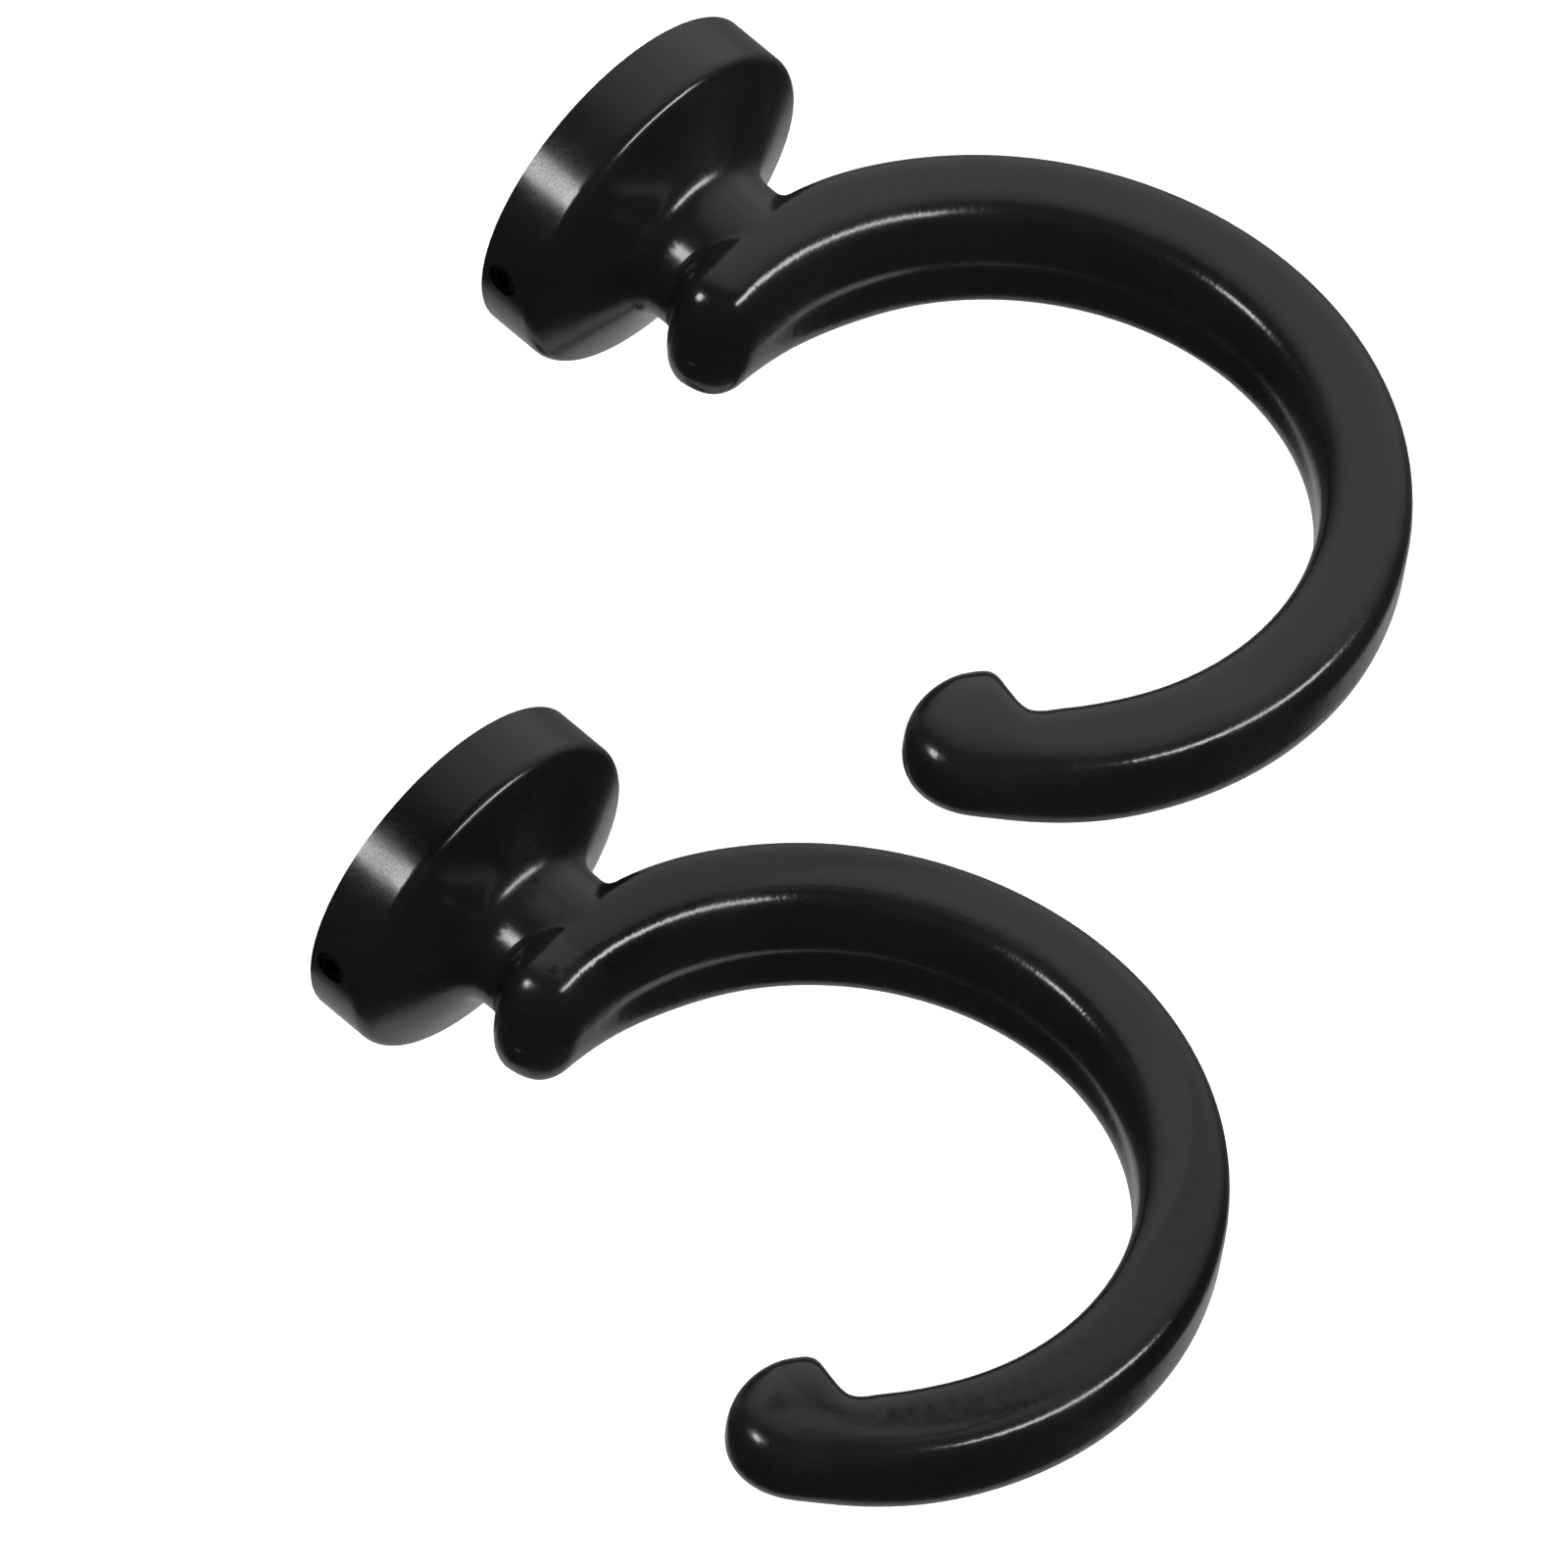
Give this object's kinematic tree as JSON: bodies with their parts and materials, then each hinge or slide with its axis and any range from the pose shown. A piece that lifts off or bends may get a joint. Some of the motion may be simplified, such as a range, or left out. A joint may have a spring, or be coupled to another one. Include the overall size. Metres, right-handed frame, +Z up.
{
  "type": "curtain tie-back hook set",
  "caption": "Black cast wall hooks with a round base, waisted neck and open C-shaped arm ending in a rounded knob, for holding a curtain back.",
  "frame": {"origin": "centre of the upper hook's base, on the wall", "axes": "+Y into the wall, -Y out into the room, +Z up"},
  "size_m": [0.068, 0.08, 0.1194],
  "materials": {
    "black_paint": "satin black paint on cast zinc",
    "zinc_plated_steel": "turned, zinc plated",
    "black_oxide_steel": "black oxide"
  },
  "bodies": {
    "wall_bosses": {"upper_wall_boss": "zinc_plated_steel", "lower_wall_boss": "zinc_plated_steel"},
    "upper_hook": {"upper_hook": "black_paint"},
    "upper_grub_screw": {"upper_grub_screw": "black_oxide_steel"},
    "lower_hook": {"lower_hook": "black_paint"},
    "lower_grub_screw": {"lower_grub_screw": "black_oxide_steel"}
  },
  "joints": [
    {"name": "upper_hook_turn", "type": "hinge", "parent": "wall_bosses", "child": "upper_hook", "pos_m": [0, 0, 0], "axis": [0, -1, 0], "continuous": true},
    {"name": "upper_grub_slide", "type": "slide", "parent": "upper_hook", "child": "upper_grub_screw", "axis": [-1, 0, 0], "range_m": [0, 0.0029]},
    {"name": "lower_hook_turn", "type": "hinge", "parent": "wall_bosses", "child": "lower_hook", "pos_m": [-0.0063, 0, -0.0874], "axis": [0, -1, 0], "continuous": true},
    {"name": "lower_grub_slide", "type": "slide", "parent": "lower_hook", "child": "lower_grub_screw", "axis": [-1, 0, 0], "range_m": [0, 0.0029]}
  ]
}
